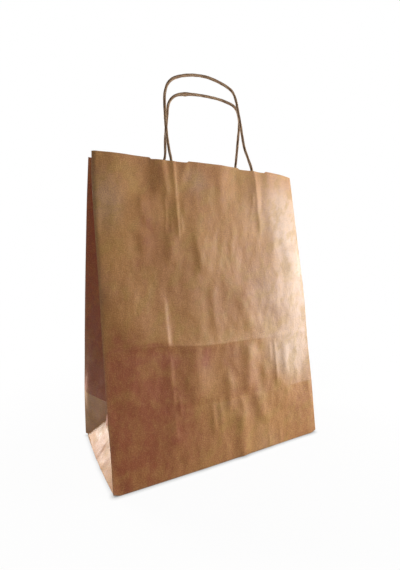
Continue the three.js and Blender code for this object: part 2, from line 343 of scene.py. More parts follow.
# Edges go by height and how far out they stand; bows across a panel go by x. A crease is x and z at its
# top and at its foot, the widths of its left and right flanks and its height, in mm. A bump is x, z,
# its half widths and height.
frontShape = {
    "side": -1, "belly": 1.5,
    "leftEdge": [(0, 0.0035), (0.03, 0.0015), (0.07, 0.0005), (0.12, -0.001), (0.2, -0.0015), (0.26, 0),
                 (0.306, 0.0033)],
    "rightEdge": [(0, 0.0028), (0.06, 0.0038), (0.12, 0.003), (0.155, 0.0048), (0.205, 0.0038),
                  (0.25, 0.0028), (0.306, 0.0015)],
    "leftOut": [(0, 0.0012), (0.03, 0.0008), (0.067, 0.0015), (0.11, 0.0018), (0.205, 0.0017),
                (0.252, 0.0023), (0.28, 0.0024), (0.306, 0.0014)],
    "rightOut": [(0, 0.0012), (0.04, 0.0008), (0.306, 0.0009)],
    "topBow": [(-0.120, 0), (-0.1175, 0.0022), (-0.1145, 0.0029), (-0.109, 0.0038), (-0.098, 0.0050),
               (-0.082, 0.0043), (-0.070, 0.0042), (-0.050, 0.0067), (-0.030, 0.0096), (0, 0.0111),
               (0.010, 0.0115), (0.030, 0.0105), (0.050, 0.0105), (0.066, 0.0107), (0.076, 0.0113),
               (0.086, 0.0098), (0.096, 0.0079), (0.108, 0.0042), (0.120, 0)],
    "baseBow": [(-0.120, 0), (-0.09, 0.0004), (-0.02, 0.0010), (0.04, 0.0006), (0.09, 0), (0.120, 0)],
    "creaseBow": [(-0.120, 0), (-0.09, 0.0016), (-0.04, 0.0026), (0.03, 0.0022), (0.08, 0.001), (0.120, 0)],
    "creaseLine": [(-0.120, 0.1212), (-0.078, 0.1239), (-0.050, 0.1218), (-0.027, 0.1198),
                   (0.035, 0.1190), (0.120, 0.1185)],
    "creaseLift": [(-0.120, 0.0004), (-0.085, 0.0005), (-0.06, 0.0007), (-0.04, 0.0009), (0, 0.0006),
                   (0.035, 0.0006), (0.06, 0.0002), (0.120, 0.0003)],
    "waves": 0.0005, "seed": 3, "strength": 1.3,
    "softCreases": [
        (-58, 330, -52, 266, 11, 5, 1.6), (-76, 272, -72, 236, 14, 12, 1.5),
        (-80, 238, -76, 210, 7, 16, 1.0), (-50, 238, -49, 196, 9, 14, 1.5),
        (-22, 236, -16, 186, 9, 16, 1.1), (-27, 308, -40, 274, 5, 5, 0.5),
        (12, 330, 12, 266, 8, 12, 0.7), (53, 330, 57, 258, 16, 6, 0.9),
        (104, 226, 104, 182, 12, 20, 1.2), (68, 192, 64, 144, 16, 14, 0.9),
        (34, 182, 32, 126, 12, 12, 0.9), (19.5, 230, 19, 194, 4, 8, 0.4),
        (-9.5, 180, -7, 128, 4.5, 10, 0.7), (-62, 174, -61, 116, 10, 3.5, 0.8),
        (-60.5, 120, -59, 60, 8, 3.2, 0.55), (-59, 64, -58.5, 22, 10, 3.5, 0.45),
        (-53, 80, -52.5, 52, 3, 2.5, 0.4), (-31, 122, -32, 60, 11, 12, 1.3),
        (32, 120, 27, 62, 7, 9, 1.5), (36, 68, 46, 26, 7, 10, 1.0), (51, 96, 51, 72, 4, 6, 0.6),
        (3, 92, 4, 44, 5, 6, 0.7), (19, 52, 14.5, -12, 7.5, 8, 1.6), (-9, 66, -8, 26, 3, 3.5, 0.5),
        (-17.5, 66, -15, 24, 3, 3, 0.5), (17, 66, 20, 42, 4, 4, 0.6), (80, 114, 80, 72, 4, 5, 0.6),
        (-34, 16, -33, -12, 7, 8, 0.6), (-108, 184, -78, 118, 30, 30, 1.2),
    ],
    "sharpCreases": [
        (-44, 330, -41.3, 262, 6, 2.2, 1.2), (-41.3, 270, -41, 224, 5, 2, 1.1),
        (54, 330, 59.5, 232, 4, 5, 1.1), (-53.5, 270, -52, 242, 1.2, 1, 0.35),
        (-52, 250, -55.5, 231, 1.2, 1, 0.3), (-48, 248, -47.5, 229, 1.2, 1, 0.3),
        (-78, 270, -77, 248, 1.2, 1, 0.35), (-77, 250, -73.5, 242, 1.2, 1, 0.3),
        (-37.2, 254, -37, 228, 1.4, 1, 0.4), (-33.5, 264, -33.5, 244, 1.2, 1, 0.25),
        (50.8, 282, 51.8, 262, 1.2, 1, 0.3), (51.8, 264, 46, 248, 1.2, 1, 0.3),
        (63.7, 292, 64, 254, 1.2, 1.2, -0.25), (-60.5, 141, -60.8, 120, 2, 1.5, 0.25),
        (66.5, 112, 67, 62, 2.6, 4, 0.8), (60.5, 116, 59, 88, 2.6, 4, 0.5),
        (66, 118, 67, 104, 1.5, 1.5, 0.3), (51.5, 17, 51.5, -6, 1.5, 1.5, 0.5),
        (67, 17, 68, -6, 1.5, 1.5, 0.4), (15.5, 14, 16, -6, 1.5, 1.5, 0.4),
        (-70, 22, -69, 8, 1.5, 1.5, 0.3), (-25, 234, -18, 190, 2, 3, 0.3),
    ],
    "bumps": [(115, 57, 5, 8, 0.8), (117, 38, 5, 9, 0.7), (-70, 285, 8, 14, -0.5)],
    # Tone spots, each by x, z, half widths and amount: painted shade where positive (darker and redder,
    # mostly left and low) and painted highlight where negative (paler, mostly right)
    "tonesShadesAndSheens": [
        (-84, 92, 36, 40, 0.5), (-108, 132, 16, 20, 0.6), (-72, 240, 16, 30, 0.7),
        (-104, 262, 22, 60, -0.35), (-15, 288, 16, 18, -0.4), (100, 250, 34, 60, -0.9),
        (-15, 42, 12, 14, -0.3), (110, 150, 30, 60, -0.55), (-53, 286, 8, 26, 0.5),
        (-62, 108, 9, 12, 0.4), (-22, 106, 12, 14, 0.4), (-84, 198, 12, 10, 0.3),
        (90, 92, 28, 30, -0.75), (120, 200, 10, 130, -0.25), (112, 40, 20, 30, -0.35),
        (-100, 40, 40, 46, 0.5), (-30, 30, 50, 36, 0.6), (60, 160, 26, 60, -0.35),
        (60, 40, 20, 26, 0.25), (20, 112, 26, 14, 0.3),
    ],
    # Painted shade: darker and redder below the crease, most on the left, and below the gussets' half depth
    # on the right
    "belowCreaseShade": [(-0.120, 0.5), (-0.06, 0.45), (-0.03, 0.3), (0.03, 0.2), (0.06, 0.05), (0.120, 0)],
    "footShade": [(-0.120, 0), (0.07, 0), (0.085, 0.3), (0.120, 0.4)],
}
backShape = {
    "side": 1, "belly": 1.5,
    "leftEdge": [(0, 0), (0.306, 0)],
    "rightEdge": [(0, 0), (0.306, 0)],
    "rightOut": [(0, 0.0006), (0.306, 0.0006)],
    "leftOut": [(0, 0.002), (0.063, 0.0032), (0.088, 0.0030), (0.137, 0.0028), (0.183, 0.0025),
                (0.226, 0.0019), (0.266, 0.0012), (0.306, 0)],
    "topBow": [(-0.120, 0), (-0.110, 0.0016), (-0.07, 0.0036), (0, 0.0042), (0.07, 0.0036),
               (0.110, 0.0016), (0.120, 0)],
    "baseBow": [(-0.120, 0), (0, 0.0008), (0.120, 0)],
    "creaseBow": [(-0.120, 0), (-0.05, 0.0014), (0.05, 0.0018), (0.120, 0)],
    "creaseLine": [(-0.120, 0.1212), (0, 0.1205), (0.120, 0.1185)],
    "creaseLift": [(-0.120, 0.0003), (-0.03, 0.0006), (0.04, 0.0003), (0.120, 0.0005)],
    "waves": 0.0006, "seed": 8, "strength": 1.0,
    "seamX": 0.0985, "seamLift": 0.0002, "seamStep": 0.0012,  # the sheet's glued end
    "softCreases": [
        (-70, 330, -66, 250, 14, 9, 1.2), (10, 290, 20, 220, 16, 12, 1.0),
        (80, 250, 72, 190, 12, 14, 1.0), (-20, 200, -30, 140, 12, 10, 0.9),
        (40, 112, 36, 40, 8, 10, 1.0), (-45, 100, -50, 30, 9, 8, 0.9), (-5, 116, 0, 60, 6, 8, 0.8),
        (70, 90, 76, 20, 9, 9, 0.9), (-90, 180, -84, 128, 12, 10, 0.7),
    ],
    "sharpCreases": [
        (-44, 330, -43, 228, 4, 3, 1.1), (54, 330, 55, 230, 4, 3, 1.1), (20, 118, 22, 90, 2, 2, 0.4),
        (-62, 60, -60, 30, 2, 2, 0.4), (47, 262, 48, 236, 1.2, 1.2, 0.3),
        (-37, 258, -36, 238, 1.2, 1.2, 0.3),
    ],
    "bumps": [(30, 20, 14, 9, 0.6), (-90, 60, 12, 14, -0.6)],
    "tonesShadesAndSheens": [(-40, 60, 40, 30, 0.4), (60, 210, 40, 50, 0.2), (-70, 230, 30, 40, -0.3)],
    # Painted shade: a little darker and redder below the crease and near the foot
    "belowCreaseShade": [(-0.120, 0.15), (0.120, 0.1)],
    "footShade": [(-0.120, 0.05), (0.120, 0.1)],
}


def edgeDepth(z):  # half the distance between the front and back upright edges
    straight = halfDepth - (halfDepth - bagShape["mouth"] / 2) * z / topZ
    bow = np.where(z < creaseZ, z / creaseZ, (topZ - z) / (topZ - creaseZ))
    return straight + bagShape["creaseBow"] * bow


creaseShape = {"tip": 0.2, "fade": 12}  # how round a sharp crease is, and its longest end in mm


def creaseHeight(creases, x, z, sharp):  # of listed creases, at x and z in mm
    tip = creaseShape["tip"]
    total = np.zeros(np.broadcast(x, z).shape)
    for highX, highZ, lowX, lowZ, left, right, height in creases:
        share = np.clip((highZ - z) / (highZ - lowZ), 0, 1)
        away = x - (highX + (lowX - highX) * share)
        away = away / np.where(away < 0, left, right)
        profile = np.exp(tip - np.sqrt(away ** 2 + tip ** 2)) if sharp else np.exp(-away ** 2)
        fade = min(creaseShape["fade"], (highZ - lowZ) / 3)
        total += height * profile * smoothStep(lowZ, lowZ + fade, z) * smoothStep(highZ, highZ - fade, z)
    return total


def spots(places, x, z):  # soft spots, each by x, z, half widths and amount, in mm
    total = 0
    for middleX, middleZ, acrossX, acrossZ, amount in places:
        total = total + amount * np.exp(-((x - middleX) / acrossX) ** 2 - ((z - middleZ) / acrossZ) ** 2)
    return total


reliefShape = {
    "creaseReach": 0.004, "creaseFade": 0.07, "hollow": 0.5, "hollowBelow": 0.009, "hollowReach": 0.005,
    # The gusset's slanted fold shows through near the right edge
    "innerFold": 0.0003, "innerFoldZ": 0.0605, "innerFoldReach": 0.003,
    "innerFoldFrom": 0.060, "innerFoldTo": 0.080,
    "longWaves": 0.045, "shortWaves": 0.013, "shortShare": 0.3,
    "besideFold": 0.008, "aboveFoot": 0.004,  # where the sheet is held flat
}


def relief(shape, x, z):  # how far a panel's creases and waves stand out
    look = reliefShape
    xs, zs = x / mm, z / mm
    total = mm * shape["strength"] * (creaseHeight(shape["softCreases"], xs, zs, False)
                                      + creaseHeight(shape["sharpCreases"], xs, zs, True))
    total += mm * spots(shape["bumps"], xs, zs)
    above = z - curveThrough(shape["creaseLine"], x)
    hollow = look["hollow"] * np.exp(-((above + look["hollowBelow"]) / look["hollowReach"]) ** 2)
    total += curveThrough(shape["creaseLift"], x) * (np.exp(-np.abs(above) / look["creaseReach"]) - hollow)
    inner = look["innerFold"] * np.exp(-np.abs(z - look["innerFoldZ"]) / look["innerFoldReach"])
    total += inner * smoothStep(look["innerFoldFrom"], look["innerFoldTo"], x)
    total += shape["waves"] * (softWaves(x, z, look["longWaves"], shape["seed"])
                               + look["shortShare"] * softWaves(x, z, look["shortWaves"], shape["seed"] + 1))
    held = smoothStep(halfWidth, halfWidth - look["besideFold"], np.abs(x))
    return total * held * smoothStep(0, look["aboveFoot"], z)


def panelDepth(shape, x, z):  # of a wide panel's outer face from the bag's middle plane
    across = (x / halfWidth + 1) / 2
    edge = (edgeDepth(z) + (1 - across) * curveThrough(shape["leftEdge"], z)
            + across * curveThrough(shape["rightEdge"], z))
    up = np.clip(z / topZ, 0, 1.1)
    low = np.clip(1 - z / creaseZ, 0, 1)
    crease = np.where(z < creaseZ, z / creaseZ, np.exp(-(z - creaseZ) / reliefShape["creaseFade"]))
    total = (edge + curveThrough(shape["topBow"], x) * up ** shape["belly"]
             + curveThrough(shape["baseBow"], x) * low ** 2 + curveThrough(shape["creaseBow"], x) * crease
             + relief(shape, x, z))
    if "seamX" in shape:
        total += shape["seamLift"] * smoothStep(shape["seamX"], shape["seamX"] - shape["seamStep"], x)
    return total


def panelPoint(shape, x, z, inside=0.0):
    x, z, inside = np.broadcast_arrays(x, z, inside)
    return np.stack([x, shape["side"] * (panelDepth(shape, x, z) - inside), z], -1)


# Across the sheet: the back panel, the left gusset, the front panel and the right gusset
gridCounts = {"gusset": 23, "front": 160, "back": 84, "belowCrease": 28, "aboveCrease": 58}
nearCorner = np.array([0, 0.0003, 0.0006, 0.001])
evenFrom = 0.002  # the evener columns start this far from a fold
legFocus = [(-0.047, 0.012, 0.7), (0.057, 0.010, 0.6), (-0.060, 0.006, 0.5)]
seamFocus = [(backShape["seamX"] - backShape["seamStep"] / 2, 0.0008, 12)]
fromCorner = np.concatenate([nearCorner, spread(evenFrom, 0.0582, gridCounts["gusset"]),
                             [0.0591, 0.0596, 0.060]])
gussetS = np.concatenate([fromCorner - halfDepth, (halfDepth - fromCorner)[::-1][1:]])  # 0 is the fold
leftMiddle = bagShape["width"] + halfDepth  # of each wall, along the flat sheet
frontMiddle = leftMiddle + halfDepth + halfWidth
rightMiddle = frontMiddle + halfWidth + halfDepth


def panelColumns(count, focus):
    evenTo = halfWidth - evenFrom
    return np.concatenate([-halfWidth + nearCorner, spread(-evenTo, evenTo, count, focus),
                           halfWidth - nearCorner[::-1]])


frontX = panelColumns(gridCounts["front"], legFocus)
backX = panelColumns(gridCounts["back"], seamFocus)[::-1]

# Up the sheet, as lengths of paper from the base; the first rows match the gussets' slanted folds
creaseT = creaseZ / rise
creaseFocus = [(creaseT, 0.006, 3)]
rowT = np.concatenate([
    fromCorner, spread(0.0605, creaseT, gridCounts["belowCrease"], creaseFocus),
    spread(creaseT, 0.3085, gridCounts["aboveCrease"], creaseFocus)[1:], [0.3094, 0.310],
])


def panelGrid(shape, x):
    z = rowT[:, None] * rise + 0 * x[None, :]
    toCrease = curveThrough(shape["creaseLine"], x)[None, :] - creaseZ
    z = z + toCrease * np.exp(-((z - creaseZ) / bagShape["creasePull"]) ** 2)  # a row runs along it
    for middle, width, depth in bagShape["notches"]:
        half, slant = width / 2, bagShape["notchSlant"] / 2
        cut = smoothStep(half + slant, half - slant, np.abs(x - middle))[None, :]
        z = z - depth * cut * smoothStep(topZ - bagShape["notchPull"], topZ, z)
    points = panelPoint(shape, x[None, :] + 0 * z, z)
    x, swell = points[..., 0], bagShape["swellFrom"]
    sideways = (curveThrough(shape["rightOut"], z) * smoothStep(swell, halfWidth, x)
                - curveThrough(shape["leftOut"], z) * smoothStep(-swell, -halfWidth, x))
    points[..., 0] += sideways  # the upright edges swell a little
    return points


gussetShape = {
    "tilt": math.radians(30.0), "apexDip": 0.0075, "topDip": 0.0058, "softFold": 0.0006, "softRise": 20,
    "baseBow": 0.0016, "baseBowReach": 0.014,
    "waves": 0.0005, "longWaves": 0.035, "shortWaves": 0.011, "shortShare": 0.3, "seed": 21,
    "creaseLift": 0.0004, "creaseReach": 0.003, "apexLift": 0.004, "apexReach": 0.018,
    "held": 0.008,  # how far from a fold the sheet is held flat
    # Painted shade and light: the upper halves darker and redder, the folded corners below paler, the base
    # triangle a touch redder; the right gusset takes a share of it
    "upperShade": 1.0, "cornerLight": -0.35, "baseTone": 0.1, "rightShadeShare": 0.4,
    # Creases by place across the gusset, front to back, and up it, in mm
    "creases": {
        -1: [(1, 25, 7, -4, 3, 3, 0.8), (-20, 18, -14, -4, 2.5, 2.5, 0.6), (38, 190, 44, 90, 6, 8, 0.8)],
        1: [(6, 22, 2, -4, 3, 3, 0.6), (-36, 180, -40, 100, 8, 6, 0.8), (34, 240, 30, 150, 7, 7, 0.7)],
    },
}


def gussetGrid(side, frontEdge, backEdge):  # side is -1 left, 1 right; the edges are the panels' ends
    look = gussetShape
    points = np.zeros((len(rowT), len(gussetS), 3))
    s = gussetS[:, None]
    for row, t in enumerate(rowT):
        front, back = frontEdge[row], backEdge[row]
        if t <= halfDepth + 1e-6:  # a triangle leaning in between two folded corners
            reach = halfDepth - t
            inX, atZ = side * (halfWidth - t * math.sin(look["tilt"])), t * math.cos(look["tilt"])
            bow = look["baseBow"] * math.exp(-t / look["baseBowReach"])
            toFront, toBack = np.array([inX, -reach, atZ]), np.array([inX, reach, atZ])
            share = np.clip((np.abs(s) - reach) / max(t, 1e-6), 0, 1)
            corner = np.where(s < 0, toFront + (front - toFront) * share, toBack + (back - toBack) * share)
            middle = np.concatenate([inX + side * bow * (1 - (s / halfDepth) ** 2), s, atZ + 0 * s], 1)
            points[row] = np.where(np.abs(s) <= reach, middle, corner)
        else:  # two halves folded in to the centre fold
            up = (t - halfDepth) / (rowT[-1] - halfDepth)
            dip = look["apexDip"] + (look["topDip"] - look["apexDip"]) * up
            half = np.linalg.norm(back - front) / 2
            inset = math.sqrt(max(halfDepth ** 2 - half ** 2 - dip ** 2, 0))
            fold = (front + back) / 2 + np.array([-side * inset, 0, -dip])
            soft = np.sqrt(s ** 2 + (look["softFold"] * min(up * look["softRise"], 1)) ** 2)
            halves = (front - fold) * (soft - s) + (back - fold) * (soft + s)
            points[row] = fold + halves / bagShape["depth"]
    return points


def toNearestFold(t, s):  # in a gusset, from its centre and slanted folds
    slanted = np.abs(np.abs(s) - (halfDepth - t))
    return np.where(t < halfDepth, slanted, np.abs(s))


def gussetLift(side):
    look, held = gussetShape, gussetShape["held"]
    t, s = rowT[:, None], gussetS[None, :]
    lift = look["waves"] * (softWaves(s, t, look["longWaves"], look["seed"] + side)
                            + look["shortShare"] * softWaves(s, t, look["shortWaves"], look["seed"] + 5))
    lift = lift + look["creaseLift"] * np.exp(-np.abs(t - creaseT) / look["creaseReach"])
    apex = np.exp(-np.abs(t - halfDepth) / look["apexReach"]) * (np.abs(s) > halfDepth - t)
    lift = (lift + look["apexLift"] * apex) * smoothStep(0, held, t)
    lift = lift + mm * creaseHeight(look["creases"][side], s / mm, t / mm, True)
    lift = lift * smoothStep(0, held, toNearestFold(t, s)) * smoothStep(0, held, halfDepth - np.abs(s))
    return lift[:, 1:-1]


def rounded(ring, corner):  # an upright fold of the closed ring, made into a small curve
    reach = bagShape["foldColumns"]
    around = [(corner + k) % ring.shape[1] for k in range(-reach, reach + 1)]
    before, tip, after = (ring[:, around[k]].copy() for k in (0, reach, -1))
    for k, column in enumerate(around):
        u = k / (2 * reach)
        ring[:, column] = (1 - u) ** 2 * before + 2 * u * (1 - u) * tip + u * u * after


wearShape = {  # how rubbed each edge is, and how far from it
    "fold": (1, 0.0011), "innerFold": (0.7, 0.0010), "crease": (0.1, 0.0012),
    "top": (0.8, 0.0008), "foot": (0.6, 0.0010),
}
insideShare = 0.6  # of the wear, tone and painted light outside
# Random drift of the tone, and how soft the step of painted shade is at the crease
toneAndShadeShape = {"drift": 0.15, "driftLength": 0.08, "step": 0.002}


def rubbed(edge, away):
    amount, reach = wearShape[edge]
    return amount * np.exp(-away / reach)


def panelWear(x):
    return rubbed("fold", halfWidth - np.abs(x[None, :])) + rubbed("crease", np.abs(rowT[:, None] - creaseT))


def gussetWear():
    t, s = rowT[:, None], gussetS[None, 1:-1]
    return (rubbed("fold", halfDepth - np.abs(s)) + rubbed("innerFold", toNearestFold(t, s))
            + rubbed("crease", np.abs(t - creaseT)))


# Painted shade on the upper halves, painted light on the folded corners below
def gussetShadeAndLight():
    t, s = rowT[:, None], gussetS[None, 1:-1]
    low = np.where(np.abs(s) > halfDepth - t, gussetShape["cornerLight"], gussetShape["baseTone"])
    return np.where(t > halfDepth, gussetShape["upperShade"], low)


def panelToneShadeAndSheen(shape, x):  # 1 where the paper is redder and darker, -1 where it is paler: random drift, the spots' painted shade and painted highlight, and painted shade below the crease and at the foot
    look = toneAndShadeShape
    x, z = x[None, :], rowT[:, None] * rise
    toneShadeAndSheen = look["drift"] * softWaves(x, z, look["driftLength"], shape["seed"] + 4)
    toneShadeAndSheen = toneShadeAndSheen + spots(shape["tonesShadesAndSheens"], x / mm, z / mm)
    below = smoothStep(-look["step"], look["step"], curveThrough(shape["creaseLine"], x) - z)
    toneShadeAndSheen = toneShadeAndSheen + below * curveThrough(shape["belowCreaseShade"], x)
    return toneShadeAndSheen + (z < halfDepth) * curveThrough(shape["footShade"], x)


def wallRing():  # all the walls as one closed ring of columns
    front, back = panelGrid(frontShape, frontX), panelGrid(backShape, backX)
    left = gussetGrid(-1, front[:, 0], back[:, -1])[:, 1:-1][:, ::-1]
    right = gussetGrid(1, front[:, -1], back[:, 0])[:, 1:-1]
    ring = np.concatenate([back, left, front, right], 1)
    starts = np.cumsum([0, back.shape[1], left.shape[1], front.shape[1], right.shape[1]])
    normals = gridNormals(ring)
    ring[:, starts[1]:starts[2]] += normals[:, starts[1]:starts[2]] * gussetLift(-1)[:, ::-1, None]
    ring[:, starts[3]:] += normals[:, starts[3]:] * gussetLift(1)[:, :, None]
    # Each corner's column, and which way the gusset lies from it
    corners = [(0, -1), (starts[1] - 1, 1), (starts[2], -1), (starts[3] - 1, 1)]
    for corner, _ in corners:
        rounded(ring, corner)
    along = np.concatenate([halfWidth - backX, leftMiddle - gussetS[1:-1][::-1],
                            frontMiddle + frontX, rightMiddle + gussetS[1:-1]])
    flat = np.stack(np.broadcast_arrays(along[None, :], rowT[:, None], 0.0), -1)
    worn = np.concatenate([panelWear(backX), gussetWear()[:, ::-1], panelWear(frontX), gussetWear()], 1)
    worn = worn + rubbed("top", rowT[-1] - rowT)[:, None] + rubbed("foot", rowT)[:, None]
    toneShadeAndSheen = np.concatenate([panelToneShadeAndSheen(backShape, backX), gussetShadeAndLight(), panelToneShadeAndSheen(frontShape, frontX),
                           gussetShape["rightShadeShare"] * gussetShadeAndLight()], 1)
    return ring, flat, np.clip(worn, 0, 1), np.clip(toneShadeAndSheen, -1, 1), corners


def baseFlap(shape, level, first):  # one of the two long flaps that lap under the base
    paper, rows, columns = (bagShape[k] for k in ("paper", "flapRows", "flapColumns"))
    inward = np.linspace(0, halfDepth + bagShape["flapOverlap"] / 2, rows)[:, None]
    across = np.linspace(-1, 1, columns)[None, :]
    x = across * (halfWidth - np.sqrt(inward ** 2 + bagShape["blunt"] ** 2))
    edge = panelDepth(shape, x, 0.0) - bagShape["baseRadius"]
    y = shape["side"] * (edge + (halfDepth - edge) * np.clip(inward / halfDepth, 0, 1) - inward)
    z = level + (paper - level) * np.exp(-inward / bagShape["flapSettle"]) + 0 * across
    top = np.stack([x, y, z + paper], -1)
    bottom = np.stack([x, y, z], -1)
    flat = np.stack(np.broadcast_arrays(frontMiddle + x, -inward, 0.0 if shape["side"] < 0 else 0.2), -1)
    points = np.stack([top, bottom]).reshape(-1, 3)
    faces = plateFaces(rows, columns, first, flipped=shape["side"] > 0)
    return points, faces, np.stack([flat, flat]).reshape(-1, 3)


def bagMesh():
    paper = bagShape["paper"]
    ring, flat, worn, toneShadeAndSheen, corners = wallRing()
    rows, columns = ring.shape[:2]
    # The bottom edge turns under, on to the base
    turn = len(nearCorner)
    inward = -gridNormals(ring)[turn]
    inward[:, 2] = 0
    toCorner = np.min([np.linalg.norm(ring[0] - ring[0, corner], axis=1) for corner, _ in corners], 0)
    lift = bagShape["cornerLift"] * smoothStep(bagShape["cornerReach"], 0, toCorner)
    ring[:, :, 2] += lift * (1 - smoothStep(0, bagShape["cornerRise"], rowT))[:, None]
    bottom = ring[0].copy()
    bottom[:, 2] = lift - 1.5 * paper
    under = bottom + inward * bagShape["baseRadius"]
    under[:, 2] = lift + 2 * paper
    for row in range(turn):
        u = 1 - row / turn
        ring[row] = (1 - u) ** 2 * ring[turn] + 2 * u * (1 - u) * bottom + u * u * under
    normals = gridNormals(ring)
    lining = (ring - normals * paper)[turn:]
    lining[:, :, 2] = np.maximum(lining[:, :, 2], lift + 3.5 * paper)
    lining[0, :, 2] = lift + 3 * paper
    size = rows * columns
    faces = gridFaces(rows, columns, 0, closed=True)
    middle = len(fromCorner) - 1
    for corner, way in corners:  # a face that a slanted fold crosses is split along that fold
        for k in range(middle):
            column = (corner + k) % columns if way > 0 else (corner - k - 1) % columns
            a, b, c, d = faces[k * columns + column]
            faces[k * columns + column] = [a, b, c if way > 0 else d]
            faces.append([a if way > 0 else b, c, d])
    faces += gridFaces(rows - turn, columns, size, closed=True, flipped=True)
    rim, liningRim = (rows - 1) * columns, size + (rows - turn - 1) * columns
    for j in range(columns):
        k = (j + 1) % columns
        faces.append([rim + j, rim + k, liningRim + k, liningRim + j])
    faces.append(list(range(columns))[::-1])
    faces.append(list(range(size, size + columns)))
    points = [ring.reshape(-1, 3), lining.reshape(-1, 3)]
    flats = [flat.reshape(-1, 3), (flat[turn:] + np.array([0, 0, bagShape["insideShift"]])).reshape(-1, 3)]
    wears = [worn.ravel(), worn[turn:].ravel() * insideShare]
    tonesShadesAndSheens = [toneShadeAndSheen.ravel(), toneShadeAndSheen[turn:].ravel() * insideShare]
    for shape, level in ((backShape, 0.0), (frontShape, paper)):
        flap, flapFaces, flapFlat = baseFlap(shape, level, sum(len(p) for p in points))
        points.append(flap)
        faces += flapFaces
        flats.append(flapFlat)
        wears.append(np.zeros(len(flap)))
        tonesShadesAndSheens.append(np.zeros(len(flap)))
    facts = {"flat": flats, "worn": wears, "toneShadeAndSheen": tonesShadesAndSheens}
    return np.concatenate(points), faces, {title: np.concatenate(parts) for title, parts in facts.items()}


bagPoints, bagFaces, bagFacts = bagMesh()
addPiece("bag", bagPoints, bagFaces, kraft, "bag_body", bagFacts)

# The paper patches inside, with the handles' legs between them

patchShape = {
    "left": -0.080, "right": 0.090, "height": 0.066, "drop": 0.0025, "columns": 72, "rows": 28,
    "outerDepth": 0.00048, "innerDepth": 0.00096,  # below the panel's outer face
    "legs": (-0.044, 0.054), "legLength": 0.062, "cordDepth": 0.00246,
    # The inner patch drapes over a leg: how far, how wide at its top and foot, and where it ends
    "channel": 0.0033, "channelTop": 0.0012, "channelFoot": 0.0042, "endLow": 0.0035, "endHigh": 0.0005,
    "grainShift": 1.11, "rubbed": 0.001,
}


def addPatches(name, shape):
    look = patchShape
    paper = bagShape["paper"]
    flipped = shape["side"] > 0
    focus = [(leg, 0.004, 4) for leg in look["legs"]]
    x = spread(look["left"], look["right"], look["columns"], focus)[None, :]
    top = topZ - look["drop"]
    z = np.linspace(top - look["height"], top, look["rows"])[:, None]
    toLeg = np.min([np.abs(x - leg) for leg in look["legs"]], 0)
    footZ = topZ - look["legLength"]
    channel = (look["channel"] * smoothStep(look["channelFoot"], look["channelTop"], toLeg)
               * smoothStep(footZ - look["endLow"], footZ - look["endHigh"], z))
    depths = {"outer": look["outerDepth"] + 0 * channel, "inner": look["innerDepth"] + channel}
    flat = np.stack(np.broadcast_arrays(x, z, look["grainShift"] + shape["side"]), -1)
    edge = np.minimum(np.minimum(x - look["left"], look["right"] - x), np.minimum(z - z[0], z[-1] - z))
    worn = np.exp(-edge / look["rubbed"])
    facts = {"flat": np.stack([flat, flat]), "worn": np.stack([worn, worn]),
             "toneShadeAndSheen": np.zeros((2, *worn.shape))}
    for layer, depth in depths.items():
        near, far = panelPoint(shape, x, z, depth), panelPoint(shape, x, z, depth + paper)
        node = f"{name}_{layer}_patch"
        addPiece(node + "_paper", np.stack([near, far]), plateFaces(len(z), x.size, 0, flipped),
                 patchKraft, node, facts)


addPatches("front", frontShape)
addPatches("back", backShape)

# Handles: twisted paper cord. A loop's points are the leg that each goes by, how far across from that
# leg and how far up from the bag's top edge, along the slope of the loop.

cordShape = {
    "radius": 0.0015, "pitch": 0.046, "strands": 2, "groove": 0.28, "grooveWidth": 0.24,
    "wrinkle": 0.05, "wrinkles": 5, "wrinkleSwing": 0.011, "wrinkleFade": 0.007, "splayAbove": 0.05,
    "step": 0.0008, "sides": 26, "settle": 0.030, "tip": 0.0008,
    "curveSteps": 40, "legPlaces": (1, 0.75, 0.5, 0.25, 0.08, 0),
    # Slow waves along it: height, length, phase and how much of the handle's own turn
    "unevenTwist": [(0.25, 0.031, 0, 1), (0.2, 0.013, 0, 0)],
    "unevenWidth": [(0.03, 0.0085, 2, 0), (0.025, 0.0212, 0, 1)],
}
frontHandle = {
    "name": "front_handle", "node": "front_handle_cord", "panel": frontShape, "belly": 0.012, "lean": 6.9,
    "turn": 0.4, "splay": None,
    "loop": [
        (-1, -0.0016, 0.010), (-1, -0.0032, 0.029), (-1, -0.0036, 0.049), (-1, -0.0021, 0.070),
        (-1, 0.0044, 0.0825), (-1, 0.0208, 0.0916), (-1, 0.048, 0.0963), (1, -0.023, 0.091),
        (1, -0.0172, 0.087), (1, -0.0138, 0.080), (1, -0.0117, 0.0685), (1, -0.0092, 0.0505),
        (1, -0.0061, 0.025), (1, -0.003, 0.013), (1, -0.0005, 0.0035),
    ],
}
backHandle = {
    "name": "back_handle", "node": "back_handle_cord", "panel": backShape, "belly": 0.004, "lean": 9.1,
    "turn": 1.9, "splay": (-0.020, 0.0045, 1.40),  # x, half length and how much thicker
    "loop": [
        (-1, 0.005, 0.008), (-1, 0.0046, 0.029), (-1, 0.0054, 0.0525), (-1, 0.0068, 0.065),
        (-1, 0.0134, 0.0728), (-1, 0.025, 0.0766), (-1, 0.049, 0.0793), (1, -0.0232, 0.0786),
        (1, -0.0092, 0.0748), (1, -0.0026, 0.0646), (1, -0.0011, 0.0375), (1, -0.0004, 0.009),
    ],
}


